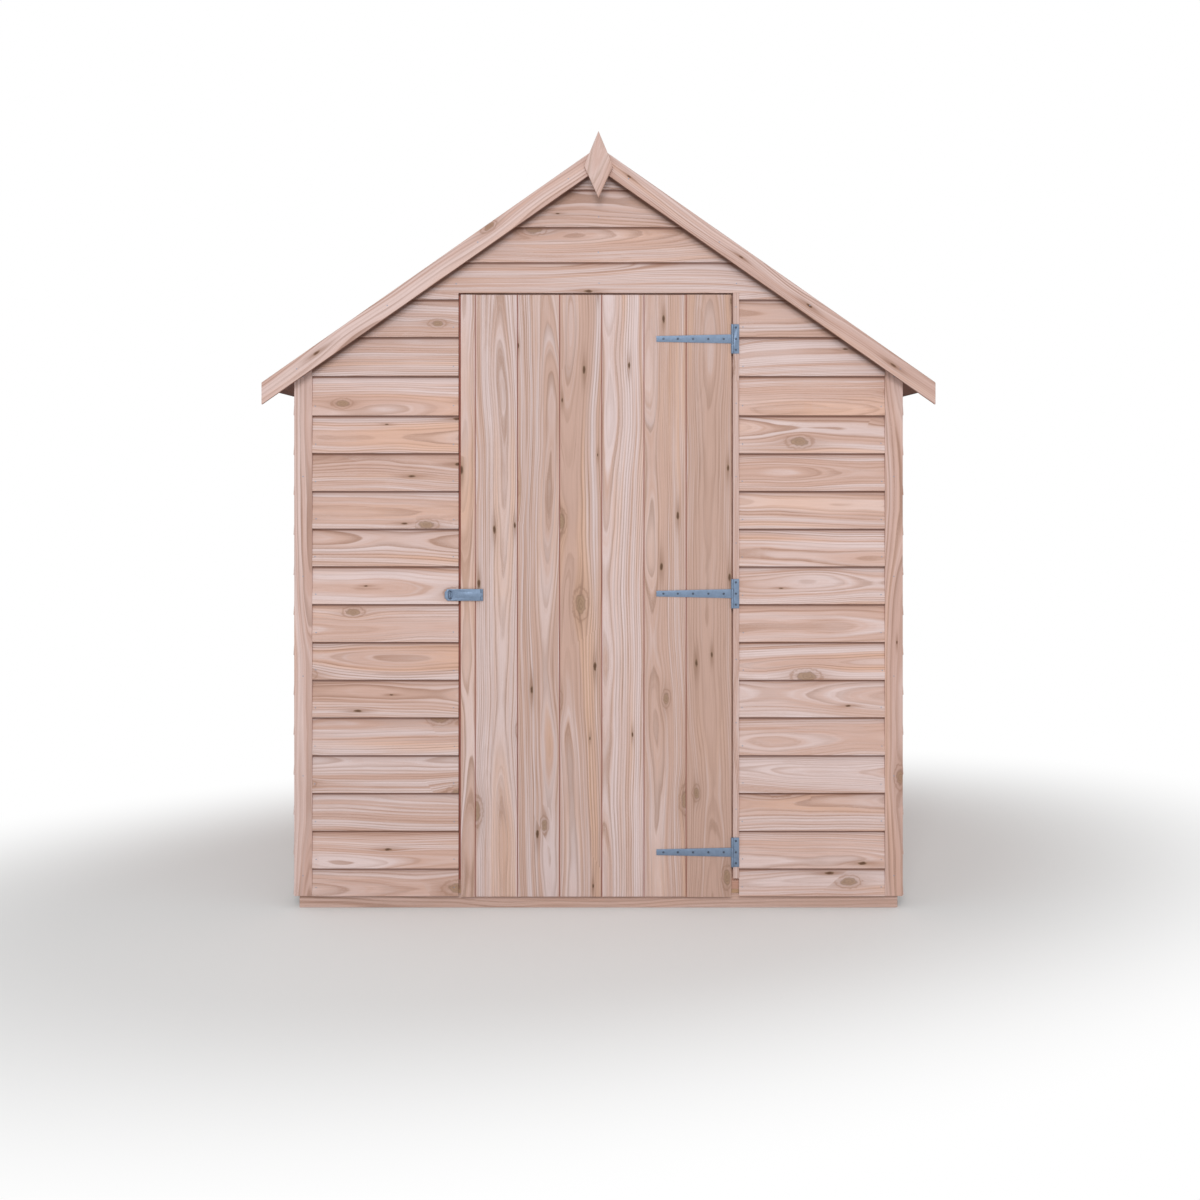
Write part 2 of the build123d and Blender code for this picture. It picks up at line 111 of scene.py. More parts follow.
def trimPast(piece, point, outward):
    # cuts off everything past a plane and closes the cut
    edit(piece)
    bpy.ops.mesh.bisect(plane_co=point, plane_no=outward, use_fill=True, clear_outer=True)
    leaveEdit()


def sliceToRoof(piece, drop):
    for side in (-1, 1):
        outward = outOfSlope(side)
        trimPast(piece, Vector((side * frameHalfWidth, 0, eavesHeight)) - outward * drop, outward)


def softenEdges(piece, width):
    edit(piece)
    bpy.ops.mesh.bevel(offset=width, segments=1, affect="EDGES", clamp_overlap=True)
    leaveEdit()


def joinAll(parts, name):
    if len(parts) > 1:
        pick(*parts)
        bpy.ops.object.join()
    piece = parts[-1]
    piece.name = name
    piece.data.name = name
    return piece


def islandsOf(mesh):
    # groups of vertices that edges join
    owner = list(range(len(mesh.vertices)))

    def root(i):
        while owner[i] != i:
            owner[i] = owner[owner[i]]
            i = owner[i]
        return i

    for edge in mesh.edges:
        a, b = root(edge.vertices[0]), root(edge.vertices[1])
        if a != b:
            owner[a] = b
    groups = {}
    for i in range(len(mesh.vertices)):
        groups.setdefault(root(i), []).append(i)
    return [groups[key] for key in sorted(groups)]


grainLuck = random.Random(35)


def layGrain(piece, along, across=None):
    # gives each board its own grain position: along, across and through it, in metres
    mesh = piece.data
    along = Vector(along).normalized()
    mesh.attributes.new("grain", "FLOAT_VECTOR", "POINT")
    mesh.attributes.new("board", "FLOAT", "POINT")
    spot, number = mesh.attributes["grain"], mesh.attributes["board"]
    for group in islandsOf(mesh):
        middle = sum((mesh.vertices[i].co for i in group), Vector()) / len(group)
        sideways = [Vector(v) for v in ((1, 0, 0), (0, 1, 0), (0, 0, 1))]
        sideways = [(v - along * v.dot(along)) for v in sideways]
        sideways = [v.normalized() for v in sideways if v.length > 0.5]

        def spread(direction):
            reach = [direction.dot(mesh.vertices[i].co) for i in group]
            return max(reach) - min(reach)

        wide = Vector(across).normalized() if across else max(sideways, key=spread)
        wide = (wide - along * wide.dot(along)).normalized()
        deep = along.cross(wide)
        shift = grainLuck.uniform(0, 60)
        seed = grainLuck.random()
        for i in group:
            offset = mesh.vertices[i].co - middle
            spot.data[i].vector = (offset.dot(along) + shift, offset.dot(wide), offset.dot(deep))
            number.data[i].value = seed


def markPoints(piece, attribute, amount):
    # "joint": painted shade at a point, 0 to 1, which on the door is a stain in its V joints; "tone": how tan
    # its board is, -1 to 1
    piece.data.attributes.new(attribute, "FLOAT", "POINT")
    marks = piece.data.attributes[attribute]
    for vertex in piece.data.vertices:
        marks.data[vertex.index].value = amount(vertex.co)


def finishPiece(piece, material, body, nodes=()):
    piece.data.materials.clear()
    piece.data.materials.append(material)
    for name in nodes:
        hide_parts(name)
    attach(piece, body)


# material helpers, all of which add to the node tree that is being made
work = {"tree": None}


def rgb(red, green, blue):
    # the usual 0-255 numbers to what a shader takes
    values = [v / 255 for v in (red, green, blue)]
    return tuple(v / 12.92 if v <= 0.04045 else ((v + 0.055) / 1.055) ** 2.4 for v in values) + (1.0,)


def newNode(kind, **settings):
    made = work["tree"].nodes.new(kind)
    for key, value in settings.items():
        setattr(made, key, value)
    return made


def plug(value, socket):
    if isinstance(value, bpy.types.NodeSocket):
        work["tree"].links.new(value, socket)
    else:
        socket.default_value = value


def calc(operation, first, second=None, third=None, clamp=False):
    made = newNode("ShaderNodeMath", operation=operation, use_clamp=clamp)
    for value, socket in zip((first, second, third), made.inputs):
        if value is not None:
            plug(value, socket)
    return made.outputs[0]


def times(first, second):
    return calc("MULTIPLY", first, second)


def plus(first, second):
    return calc("ADD", first, second)


def minus(first, second):
    return calc("SUBTRACT", first, second)


def timesPlus(first, second, third):
    return calc("MULTIPLY_ADD", first, second, third)


def squared(value):
    return times(value, value)


def bell(first, firstScale, second, secondScale):
    # 1 in the middle, falling to 0 both ways
    total = plus(squared(times(first, firstScale)), squared(times(second, secondScale)))
    return calc("EXPONENT", times(total, -1.0))


def combine(x, y, z):
    made = newNode("ShaderNodeCombineXYZ")
    for value, socket in zip((x, y, z), made.inputs):
        plug(value, socket)
    return made.outputs[0]


def separate(vector):
    made = newNode("ShaderNodeSeparateXYZ")
    plug(vector, made.inputs[0])
    return made.outputs[0], made.outputs[1], made.outputs[2]


def stretched(vector, factor):
    made = newNode("ShaderNodeVectorMath", operation="SCALE")
    plug(vector, made.inputs[0])
    made.inputs["Scale"].default_value = factor
    return made.outputs[0]


def objectPlace():
    return newNode("ShaderNodeTexCoord").outputs["Object"]


def noise(vector, scale=1.0, detail=2.0, roughness=0.5):
    made = newNode("ShaderNodeTexNoise")
    plug(vector, made.inputs["Vector"])
    made.inputs["Scale"].default_value = scale
    made.inputs["Detail"].default_value = detail
    made.inputs["Roughness"].default_value = roughness
    return made


def ease(value, start, end, low=0.0, high=1.0):
    # smooth step from low to high while value goes from start to end
    made = newNode("ShaderNodeMapRange", interpolation_type="SMOOTHSTEP")
    for given, socket in zip((value, start, end, low, high), made.inputs):
        plug(given, socket)
    return made.outputs[0]


def blendColour(share, first, second, how="MIX"):
    made = newNode("ShaderNodeMix", data_type="RGBA", blend_type=how)
    plug(share, made.inputs[0])
    plug(first, made.inputs[6])
    plug(second, made.inputs[7])
    return made.outputs[2]


def showSurface(surface, kind="ShaderNodeOutputMaterial"):
    plug(surface.outputs[0], newNode(kind).inputs["Surface"])


def shader(colour, roughness, height, bumpDepth, bumpStrength, gloss, metal=0.0):
    surface = newNode("ShaderNodeBsdfPrincipled")
    plug(colour, surface.inputs["Base Color"])
    plug(roughness, surface.inputs["Roughness"])
    surface.inputs["Metallic"].default_value = metal
    surface.inputs["Specular IOR Level"].default_value = gloss
    bump = newNode("ShaderNodeBump")
    bump.inputs["Strength"].default_value = bumpStrength
    bump.inputs["Distance"].default_value = bumpDepth
    plug(height, bump.inputs["Height"])
    plug(bump.outputs[0], surface.inputs["Normal"])
    showSurface(surface)


def startTree(owner):
    owner.use_nodes = True
    work["tree"] = owner.node_tree
    work["tree"].nodes.clear()


def newMaterial(name):
    material = bpy.data.materials.new(name)
    startTree(material)
    return material


# softwood: pine boards, dip treated to a pinkish tan
woodLook = {
    # joint: the colour of the painted shade under laps and the roof, on bargeboard edges and in the latch
    # gap; on the door, of the stain in its V joints
    "wallBoards": {
        "pale": (216, 196, 193), "tan": (200, 165, 151), "warm": (221, 177, 151), "line": (160, 122, 102),
        "lineStrength": 0.85, "knot": (160, 130, 102), "rim": (92, 62, 44), "shade": (0.95, 1.03),
        "joint": (108, 70, 54), "clear": 0.27,    # clear: share of the places without a knot
        "paintedShadeUnderRoof": (0.046, 0.056, 0.8),         # painted shade below the roof line: full to, gone by, strength
    },
    "doorBoards": {
        "pale": (211, 192, 190), "tan": (193, 160, 146), "warm": (213, 172, 145), "line": (148, 115, 96),
        "lineStrength": 0.78, "knot": (158, 130, 104), "rim": (90, 62, 44), "shade": (0.95, 1.03),
        "joint": (168, 84, 70), "clear": 0.27,
    },
    "trimBoards": {
        "pale": (212, 188, 182), "tan": (194, 160, 148), "warm": (208, 167, 145), "line": (146, 110, 92),
        "lineStrength": 0.85, "knot": (156, 122, 96), "rim": (98, 66, 48), "shade": (1.0, 1.03),
        "joint": (120, 80, 64), "clear": 0.5,
    },
    "frameTimber": {
        "pale": (206, 164, 146), "tan": (190, 142, 122), "warm": (204, 146, 118), "line": (146, 102, 82),
        "lineStrength": 0.6, "knot": (126, 78, 54), "rim": (80, 48, 34), "shade": (0.92, 1.05),
        "joint": (168, 88, 74), "clear": 0.45,
    },
    # roof boards: the same pine, with the shade under the eaves painted into its darker colours
    "roofBoards": {
        "pale": (118, 72, 50), "tan": (98, 54, 36), "warm": (114, 62, 38), "line": (70, 36, 24),
        "lineStrength": 0.6, "knot": (84, 46, 30), "rim": (58, 32, 22), "shade": (0.9, 1.05),
        "joint": (70, 38, 26), "clear": 0.4,
    },
    "floorBoards": {
        "pale": (208, 178, 148), "tan": (190, 152, 120), "warm": (204, 156, 112), "line": (150, 110, 80),
        "lineStrength": 0.6, "knot": (130, 92, 64), "rim": (82, 54, 38), "shade": (0.92, 1.05),
        "joint": (90, 60, 42), "clear": 0.4,
    },
    "bearers": {
        "pale": (205, 177, 167), "tan": (191, 158, 144), "warm": (198, 158, 136), "line": (150, 116, 99),
        "lineStrength": 0.6, "knot": (140, 104, 80), "rim": (90, 62, 46), "shade": (0.95, 1.03),
        "joint": (96, 66, 52), "clear": 0.5,
    },
}
woodLook["finials"] = dict(woodLook["trimBoards"], line=(150, 118, 96), lineStrength=1.0, clear=1.0)
woodGrain = {
    "ringGap": 0.0034,        # least distance between growth rings
    "ringGapSpread": 0.0040,
    "heartWander": 0.085,     # how far the heart of the tree drifts across a board
    "wanderRate": 1.0,        # drifts per metre
    "streakCount": 210.0,     # streaks per metre across the rings
    "knotCell": 0.15,         # one place for a knot in about this distance
    "knotStretch": 0.6,       # the places are further apart along the board
    "knotLargeShare": 0.36,   # share of the knots that are large and pale
    "smallKnot": (0.0020, 0.0052, 2.9),    # least and greatest half height, length to height
    "largeKnot": (0.0080, 0.0160, 2.1),
    "heartSide": 0.11,        # how far apart across a board the hearts of the trees may lie
    "heartDepth": (0.02, 0.07),            # least and greatest distance of the heart behind the board
    "ripple": 0.005,          # small waves in the rings
    "toneTan": 0.06,          # what a tan board gains in tan wood, and loses in lightness
    "toneShade": -0.035,
    "fibreDepth": 0.0004,
}


def softwood(name, look):
    material = newMaterial(name)
    grain = newNode("ShaderNodeAttribute", attribute_name="grain")
    board = newNode("ShaderNodeAttribute", attribute_name="board")
    joint = newNode("ShaderNodeAttribute", attribute_name="joint").outputs["Fac"]
    tone = newNode("ShaderNodeAttribute", attribute_name="tone").outputs["Fac"]
    along, across, deep = separate(grain.outputs["Vector"])
    seed = board.outputs["Fac"]
    luck = newNode("ShaderNodeTexWhiteNoise", noise_dimensions="1D")
    plug(times(seed, 97.0), luck.inputs["W"])
    luckA, luckB, luckC = separate(luck.outputs["Color"])
    # here and below, the large factors of seed only keep the boards' patterns apart

    def paint(share, colour, wanted):
        return blendColour(share, colour, rgb(*look[wanted]))

    # places of the knots, and each one's half height and half length
    cell = woodGrain["knotCell"]
    knotAlong = times(along, woodGrain["knotStretch"] / cell)
    knotSpot = combine(knotAlong, timesPlus(seed, 311.0, times(across, 1 / cell)), 0.0)
    knots = newNode("ShaderNodeTexVoronoi", voronoi_dimensions="2D")
    knots.inputs["Scale"].default_value = 1.0
    plug(knotSpot, knots.inputs["Vector"])
    spotX, spotY = separate(knotSpot)[:2]
    heartX, heartY = separate(knots.outputs["Position"])[:2]
    fromX = times(minus(spotX, heartX), cell / woodGrain["knotStretch"])
    fromY = times(minus(spotY, heartY), cell)
    knotA, knotB, knotC = separate(knots.outputs["Color"])
    present = calc("GREATER_THAN", knotB, look["clear"])
    large = calc("LESS_THAN", knotA, woodGrain["knotLargeShare"])
    smallLow, smallHigh, smallLong = woodGrain["smallKnot"]
    largeLow, largeHigh, largeLong = woodGrain["largeKnot"]
    smallSize = timesPlus(knotC, smallHigh - smallLow, smallLow)
    largeSize = timesPlus(knotC, largeHigh - largeLow, largeLow)
    size = timesPlus(large, minus(largeSize, smallSize), smallSize)
    longer = timesPlus(large, largeLong - smallLong, smallLong)
    knotX = calc("DIVIDE", fromX, times(size, longer))
    knotY = calc("DIVIDE", fromY, size)
    tail = timesPlus(large, 0.12, 0.26)
    spindle = times(bell(times(knotX, tail), 1.0, knotY, 0.6), present)

    # the heart of the tree wanders along the board, so that the rings arch on its face; they bow round knots
    driftAlong = times(along, woodGrain["wanderRate"])
    drift = noise(combine(driftAlong, times(seed, 19.0), 0.0))
    driftA, driftB = separate(drift.outputs["Color"])[:2]
    wander = woodGrain["heartWander"]
    bow = times(times(bell(knotX, 0.4, knotY, 0.5), present), -0.8)
    sideways = timesPlus(fromY, bow, across)
    heartSide = woodGrain["heartSide"]
    sideways = plus(sideways, timesPlus(luckA, heartSide, -heartSide / 2))
    sideways = plus(sideways, timesPlus(driftA, wander, -wander / 2))
    nearest, furthest = woodGrain["heartDepth"]
    inwards = plus(deep, timesPlus(luckB, furthest - nearest, nearest))
    inwards = plus(inwards, timesPlus(driftB, wander, -wander / 2))
    reach = calc("SQRT", plus(squared(sideways), squared(inwards)))
    rippleSpot = combine(times(along, 5.0), times(across, 26.0), deep)
    ripple = noise(rippleSpot).outputs["Fac"]
    reach = timesPlus(ripple, woodGrain["ripple"], reach)
    reach = timesPlus(times(spindle, size), 0.5, reach)

    # growth rings: pale early wood that darkens to a late line
    gap = timesPlus(luckC, woodGrain["ringGapSpread"], woodGrain["ringGap"])
    phase = calc("DIVIDE", reach, gap)
    within = calc("FRACT", phase)
    late = times(ease(within, 0.35, 0.88), ease(within, 0.9, 1.0, 1.0, 0.0))
    ringLuck = newNode("ShaderNodeTexWhiteNoise", noise_dimensions="1D")
    plug(timesPlus(seed, 53.0, calc("FLOOR", phase)), ringLuck.inputs["W"])
    ringTone = timesPlus(ringLuck.outputs["Value"], 0.7, 0.3)

    def pattern(x, xScale, y, yScale, z, zScale, detail, roughness=0.5):
        scaled = [times(value, scale) for value, scale in ((x, xScale), (y, yScale), (z, zScale))]
        return noise(combine(*scaled), detail=detail, roughness=roughness).outputs["Fac"]

    fade = pattern(along, 2.5, reach, 60.0, seed, 17.0, 1.0)
    bands = pattern(phase, 0.36, along, 0.6, seed, 43.0, 2.0)
    streaks = pattern(along, 1.4, reach, woodGrain["streakCount"], seed, 71.0, 3.0, 0.62)
    warmth = pattern(along, 0.9, reach, 34.0, seed, 29.0, 2.0)
    fibre = pattern(along, 11.0, across, 560.0, deep, 560.0, 2.0, 0.6)

    tanShare = plus(times(bands, 0.55), times(streaks, 0.45))
    tanShare = timesPlus(minus(luckB, 0.5), 0.07, tanShare)
    tanShare = timesPlus(tone, woodGrain["toneTan"], tanShare)
    colour = blendColour(ease(tanShare, 0.40, 0.58), rgb(*look["pale"]), rgb(*look["tan"]))
    colour = paint(ease(warmth, 0.54, 0.72, 0.0, 0.6), colour, "warm")
    strength = ease(fade, 0.3, 0.62, look["lineStrength"] * 0.45, look["lineStrength"])
    lineShare = times(times(late, ringTone), strength)
    colour = paint(lineShare, colour, "line")
    darkStreak = ease(streaks, 0.58, 0.72, 0.0, 0.6)
    colour = paint(darkStreak, colour, "line")
    smallShare = timesPlus(large, -0.3, 0.75)
    colour = paint(times(spindle, smallShare), colour, "line")
    low, high = look["shade"]
    shade = timesPlus(luckA, high - low, low)
    shade = times(shade, timesPlus(fibre, 0.26, 0.87))
    shade = times(shade, timesPlus(tone, woodGrain["toneShade"], 1.0))
    colour = blendColour(1.0, colour, combine(shade, shade, shade), how="MULTIPLY")

    # the knot itself: large ones pale brown with rings and a darker rim, small ones dark all over
    rough = noise(stretched(grain.outputs["Vector"], 90.0)).outputs["Fac"]
    knotReach = calc("SQRT", plus(squared(knotX), squared(knotY)))
    knotReach = plus(knotReach, timesPlus(rough, 0.9, -0.45))
    inside = ease(knotReach, 0.7, 1.15, 1.0, 0.0)
    rings = timesPlus(calc("SINE", times(knotReach, 17.0)), 0.24, 0.22)

    def ringAt(centre, sharpness):
        away = squared(minus(knotReach, centre))
        return calc("EXPONENT", times(away, -sharpness))

    halo = times(ringAt(1.55, 38.0), times(times(large, present), 0.55))
    colour = paint(halo, colour, "line")
    core = ease(knotReach, 0.05, 0.4, 0.4, 0.0)
    paleKnot = calc("MAXIMUM", times(ringAt(0.92, 30.0), 0.72), rings)
    paleKnot = calc("MAXIMUM", paleKnot, core)
    darkKnot = ease(knotReach, 0.35, 1.0, 1.0, 0.45)
    knotDark = timesPlus(large, minus(paleKnot, darkKnot), darkKnot)
    knotColour = blendColour(knotDark, rgb(*look["knot"]), rgb(*look["rim"]))
    knotCover = times(times(inside, present), timesPlus(large, -0.22, 0.95))
    colour = blendColour(knotCover, colour, knotColour)

    # painted shade under laps, on the lower edges of the bargeboards and on the post in the gap beside the
    # door; on the door, stain in its V joints
    soft = ease(joint, 0.1, 1.0, 0.0, 0.3)
    sharp = ease(joint, 0.66, 0.84, 0.0, 0.8)
    colour = paint(calc("MAXIMUM", soft, sharp), colour, "joint")

    # painted shade on the wall boards just below the roof and bargeboards
    if "paintedShadeUnderRoof" in look:
        full, gone, most = look["paintedShadeUnderRoof"]
        place = separate(objectPlace())
        roofLine = timesPlus(calc("ABSOLUTE", place[0]), -math.tan(pitch), roofUnderside(0))
        paintedShade = ease(minus(roofLine, place[2]), full, gone, most, 0.0)
        colour = paint(paintedShade, colour, "joint")

    height = timesPlus(late, 0.6, times(fibre, 0.9))
    roughness = timesPlus(late, -0.06, 0.66)
    shader(colour, roughness, height, woodGrain["fibreDepth"], 0.45, 0.3)
    return material


# zinc plated steel, dull and bluish, with faint spangles
steelLook = {
    "zinc": {"colour": (130, 149, 174), "dark": (110, 127, 150)},
    "dullZinc": {"colour": (92, 104, 122), "dark": (66, 74, 86)},
}
spangle = 0.005


def zincSteel(name, look):
    material = newMaterial(name)
    place = objectPlace()
    cells = newNode("ShaderNodeTexVoronoi")
    cells.inputs["Scale"].default_value = 1 / spangle
    plug(place, cells.inputs["Vector"])
    tone, other = separate(cells.outputs["Color"])[:2]
    cloud = noise(place, 60.0, 4.0, 0.6).outputs["Fac"]
    share = calc("MULTIPLY_ADD", tone, 0.35, timesPlus(cloud, 0.9, -0.2), clamp=True)
    colour = blendColour(share, rgb(*look["colour"]), rgb(*look["dark"]))
    roughness = timesPlus(other, 0.12, 0.42)
    shader(colour, roughness, cloud, 0.0002, 0.3, 0.5, metal=0.55)
    return material


# roofing felt: bitumen sheet faced with mineral grit
feltLook = {"grit": (84, 88, 86), "dark": (44, 47, 46), "pale": (122, 126, 122), "grain": 0.0016}


def mineralFelt(name):
    material = newMaterial(name)
    place = objectPlace()
    grit = newNode("ShaderNodeTexVoronoi")
    grit.inputs["Scale"].default_value = 1 / feltLook["grain"]
    plug(place, grit.inputs["Vector"])
    tone, other = separate(grit.outputs["Color"])[:2]
    cloud = noise(place, 3.0, 5.0, 0.6).outputs["Fac"]
    streak = noise(place, 40.0, 3.0, 0.6).outputs["Fac"]
    colour = blendColour(ease(tone, 0.2, 0.8), rgb(*feltLook["dark"]), rgb(*feltLook["grit"]))
    colour = blendColour(ease(other, 0.86, 0.95), colour, rgb(*feltLook["pale"]))
    shade = timesPlus(cloud, 0.5, timesPlus(streak, 0.3, 0.6))
    colour = blendColour(1.0, colour, combine(shade, shade, shade), how="MULTIPLY")
    height = timesPlus(streak, 0.4, grit.outputs["Distance"])
    shader(colour, 0.93, height, 0.0008, 0.7, 0.2)
    return material


finish = {name: softwood(name, look) for name, look in woodLook.items()}
finish.update({name: zincSteel(name, look) for name, look in steelLook.items()})
finish["felt"] = mineralFelt("felt")
print("materials made")


# timbers that need only softer edges: copies of the CAD solids
timbers = (
    # material, slot, edge rounding, and the direction of the grain by node: None follows the roof
    ("bearers", "bearer_timber", 0.0015, {"floor_bearers": (1, 0, 0)}),
    ("frameTimber", "frame_timber", 0.0015, {
        "front_sill": (1, 0, 0), "back_sill": (1, 0, 0), "side_sills": (0, 1, 0), "left_studs": (0, 0, 1),
        "right_studs": (0, 0, 1), "wall_plates": (0, 1, 0), "front_posts": (0, 0, 1), "back_posts": (0, 0, 1),
        "front_rafters": None, "back_rafters": None, "door_head": (1, 0, 0), "front_king_post": (0, 0, 1),
        "back_king_post": (0, 0, 1), "ridge_board": (0, 1, 0), "purlins": (0, 1, 0),
    }),
    ("trimBoards", "trim_boards", 0.0015, {"front_corner_trims": (0, 0, 1), "back_corner_trims": (0, 0, 1)}),
    ("trimBoards", "trim_boards", 0.001, {"hinge_strip": (0, 0, 1)}),
    ("trimBoards", "trim_boards", 0.002, {
        "front_bargeboard_left": None, "front_bargeboard_right": None,
        "back_bargeboard_left": None, "back_bargeboard_right": None,
    }),
    ("finials", "trim_boards", 0.0015, {"front_finial": (0.33, 0, 0.94), "back_finial": (-0.33, 0, 0.94)}),
    ("doorBoards", "door_timber", 0.003, {"door_ledges": (1, 0, 0), "door_braces": (-0.7, 0, 0.72)}),
)


def copySolid(node, name, rounding):
    source = frame["nodes"][node]
    piece = bpy.data.objects.new(name, source.data.copy())
    bpy.context.scene.collection.objects.link(piece)
    edit(piece)
    bpy.ops.mesh.remove_doubles(threshold=0.00002)
    bpy.ops.mesh.dissolve_limited(angle_limit=math.radians(1))
    leaveEdit()
    pick(piece)
    bevel = piece.modifiers.new("round", "BEVEL")
    bevel.width = rounding
    bevel.segments = 2
    bevel.limit_method = "ANGLE"
    bevel.angle_limit = math.radians(30)
    bpy.ops.object.modifier_apply(modifier="round")
    return piece


bodyOf = {node: body for body, nodes in frame["record"]["behaviour"]["bodies"].items() for node in nodes}


def dressTimber(node, along, wood, rounding):
    name = node + "_timber"
    piece = copySolid(node, name, rounding)
    if along:
        layGrain(piece, along)
    elif "rafters" in node:
        edit(piece)
        bpy.ops.mesh.separate(type="LOOSE")
        leaveEdit()
        halves = list(bpy.context.selected_objects)
        for half in halves:
            onRight = sum(v.co.x for v in half.data.vertices) > 0
            layGrain(half, alongSlope(1 if onRight else -1))
        piece = joinAll(halves, name)
    else:
        layGrain(piece, alongSlope(1 if node.endswith("right") else -1))
    if node == "front_posts":
        # painted dark red shade on the face of the post that the door shuts against, seen in the gap beside
        # the door
        frontFace = -frameHalfDepth + 0.0003
        markPoints(piece, "joint", lambda spot: float(spot.y < frontFace and -0.5 < spot.x < 0))
    if "bargeboard" in node:
        # painted shade on its lower edge
        low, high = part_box(node)
        rise = math.tan(pitch)
        lowLine = low[2] + max(abs(low[0]), abs(high[0])) * rise
        markPoints(piece, "joint", lambda spot: float(spot.z + abs(spot.x) * rise < lowLine + 0.0005))
    finishPiece(piece, finish[wood], bodyOf[node], [node])


for wood, slot, rounding, grains in timbers:
    for node, along in grains.items():
        dressTimber(node, along, wood, rounding)
print("timbers copied:", sum(len(kind[-1]) for kind in timbers))


# overlap boarding, one board to a course
boarding = {
    "thickness": 0.0085,
    "lap": 0.016,
    "bottom": 0.0385,
    "gablePitch": 0.1135,
    "firstGable": 0.0835,
    "regularGable": 12,
    "upperGable": (0.1185, 0.117),
    "head": (0.093, 0.1055, 0.1135),
    "sidePitch": 0.1205,
    "firstSide": 0.121,
    "roofGap": 0.002,
    "nailHeight": 0.028,      # nails above a board's lower edge
    "nailRoom": 0.012,        # wood that a nail needs above it
    "nailLuck": 0.002,        # how far a nail may sit from its line
    "paintedShade": 0.03,            # painted shade under a lap fades over this height
    "sidePaintedShade": 0.042,
    "rafterInset": 0.045,     # nails in from the roof line
    "rafterClear": 0.03,      # no stud nail nearer to a rafter nail than this
    "rafterLeast": 0.05,      # nor a rafter nail nearer to the middle
    "roofSpare": 0.05,        # on the top board, for the cut along the roof
    "edge": 0.0009,           # rounding of each board's edges
    "unevenness": 0.0004,     # how far a board may sit from its line
}


def courseLines(bottom, courses, top, gap):
    lines = [bottom]
    for course in courses:
        lines.append(lines[-1] + course)
    while lines[-1] + gap < top:
        lines.append(lines[-1] + gap)
    return [line for line in lines if line < top - boarding["lap"]] + [top]


boardLuck = random.Random(8)
wallNails = []       # (place, way out of the wood)


def addNails(start, end, outward, low, lean, height, studs, toRoof):
    # a row of nails just above a board's lower edge, one to each stud it crosses
    z = low + boarding["nailHeight"]
    if height < boarding["nailHeight"] + boarding["nailRoom"]:
        return
    along = (end - start).normalized()
    spots = [stud for stud in studs if start.dot(along) < stud < end.dot(along)]
    if toRoof and z > eavesHeight:
        reach = frameHalfWidth - (z - eavesHeight) / math.tan(pitch) - boarding["rafterInset"]
        spots = [spot for spot in spots if abs(spot) < reach - boarding["rafterClear"]]
        if reach > boarding["rafterLeast"]:
            spots += [spot for spot in (-reach, reach) if start.dot(along) < spot < end.dot(along)]
    depth = boarding["thickness"] * (2 + boarding["lap"] / boarding["gablePitch"])
    depth -= boarding["nailHeight"] * math.tan(lean)
    wall = outward * (start.dot(outward) + depth)
    luck = boarding["nailLuck"]
    for spot in spots:
        spot += boardLuck.uniform(-luck, luck)
        place = along * spot + wall + Vector((0, 0, z + boardLuck.uniform(-luck, luck)))
        wallNails.append((place, outward * math.cos(lean) + Vector((0, 0, math.sin(lean)))))


def lappedWall(name, node, start, end, outward, lines, studs):
    # start and end are the wall's two lower corners on the frame; outward points away from the room
    start, end, outward = Vector(start), Vector(end), Vector(outward)
    toRoof = abs(outward.y) > 0.5         # front and back run up to the roof line
    gap = boarding["gablePitch"] if toRoof else boarding["sidePitch"]
    thick = boarding["thickness"]
    foot = thick * (2 + boarding["lap"] / boarding["gablePitch"])    # outer face of a board's lower edge
    lean = math.atan2(thick, gap)
    paintedShade = boarding["paintedShade"] if toRoof else boarding["sidePaintedShade"]
    boards = []
    courses = list(zip(lines, lines[1:]))
    for number, (low, high) in enumerate(courses):
        covered = number < len(courses) - 1
        spare = boarding["roofSpare"] if toRoof else 0.0
        top = high + (boarding["lap"] if covered else spare)
        low += boardLuck.uniform(-1, 1) * boarding["unevenness"]
        corner = start + outward * (foot - thick)
        far = end + outward * foot
        lowCorner = [min(corner[i], far[i]) for i in range(2)] + [low]
        highCorner = [max(corner[i], far[i]) for i in range(2)] + [top]
        board = block(name, lowCorner, highCorner)
        # lean the board back about its lower outer edge
        edit(board)
        axis = "X" if toRoof else "Y"
        turn = lean if outward.y < -0.5 or outward.x > 0.5 else -lean
        pivot = start + outward * foot
        bpy.ops.transform.rotate(value=turn, orient_axis=axis, center_override=(pivot.x, pivot.y, low))
        leaveEdit()
        if toRoof:
            sliceToRoof(board, boarding["roofGap"])
        if len(board.data.vertices) < 4:
            bpy.data.objects.remove(board)
            continue
        softenEdges(board, boarding["edge"])
        layGrain(board, end - start, across=(0, 0, 1))

        def underLap(spot):
            # painted shade, only on the face to the weather, below the edge of the board above
            inset = (start + outward * foot - spot).dot(outward) - (spot.z - low) * math.tan(lean)
            return 1 - (high - spot.z) / paintedShade if covered and inset < thick / 2 else 0.0

        markPoints(board, "joint", underLap)
        boards.append(board)
        addNails(start, end, outward, low, lean, high - low, studs, toRoof)
    finishPiece(joinAll(boards, name), finish["wallBoards"], "shed", [node])


